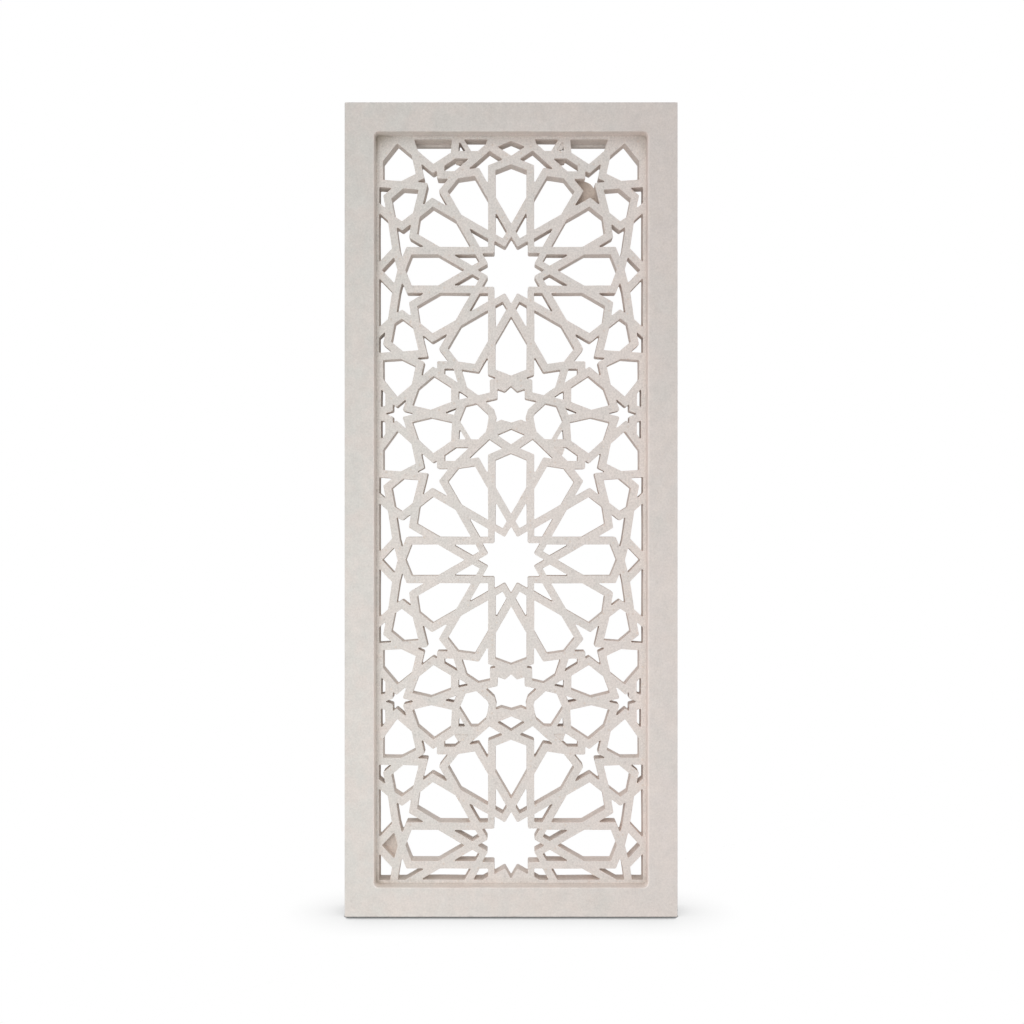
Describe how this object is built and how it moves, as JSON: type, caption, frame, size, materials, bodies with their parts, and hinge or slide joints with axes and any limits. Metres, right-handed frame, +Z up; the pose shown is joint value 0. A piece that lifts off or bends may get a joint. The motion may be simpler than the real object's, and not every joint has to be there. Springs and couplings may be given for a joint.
{
  "type": "pierced screen panel",
  "caption": "Tall pierced screen panel cast in one piece: a plain raised frame round a deep girih lattice of rosettes with long petals and small stars.",
  "frame": {"origin": "centre of the panel's footprint, on the plane it stands on", "axes": "+Z up the panel, +X along its width, -Y out of the face that is seen"},
  "size_m": [0.613, 0.08, 1.5],
  "materials": {
    "cast_stone": "matt, fine sand grain, small pits on the straps"
  },
  "bodies": {
    "root": {"screen_panel": "cast_stone"}
  },
  "joints": []
}
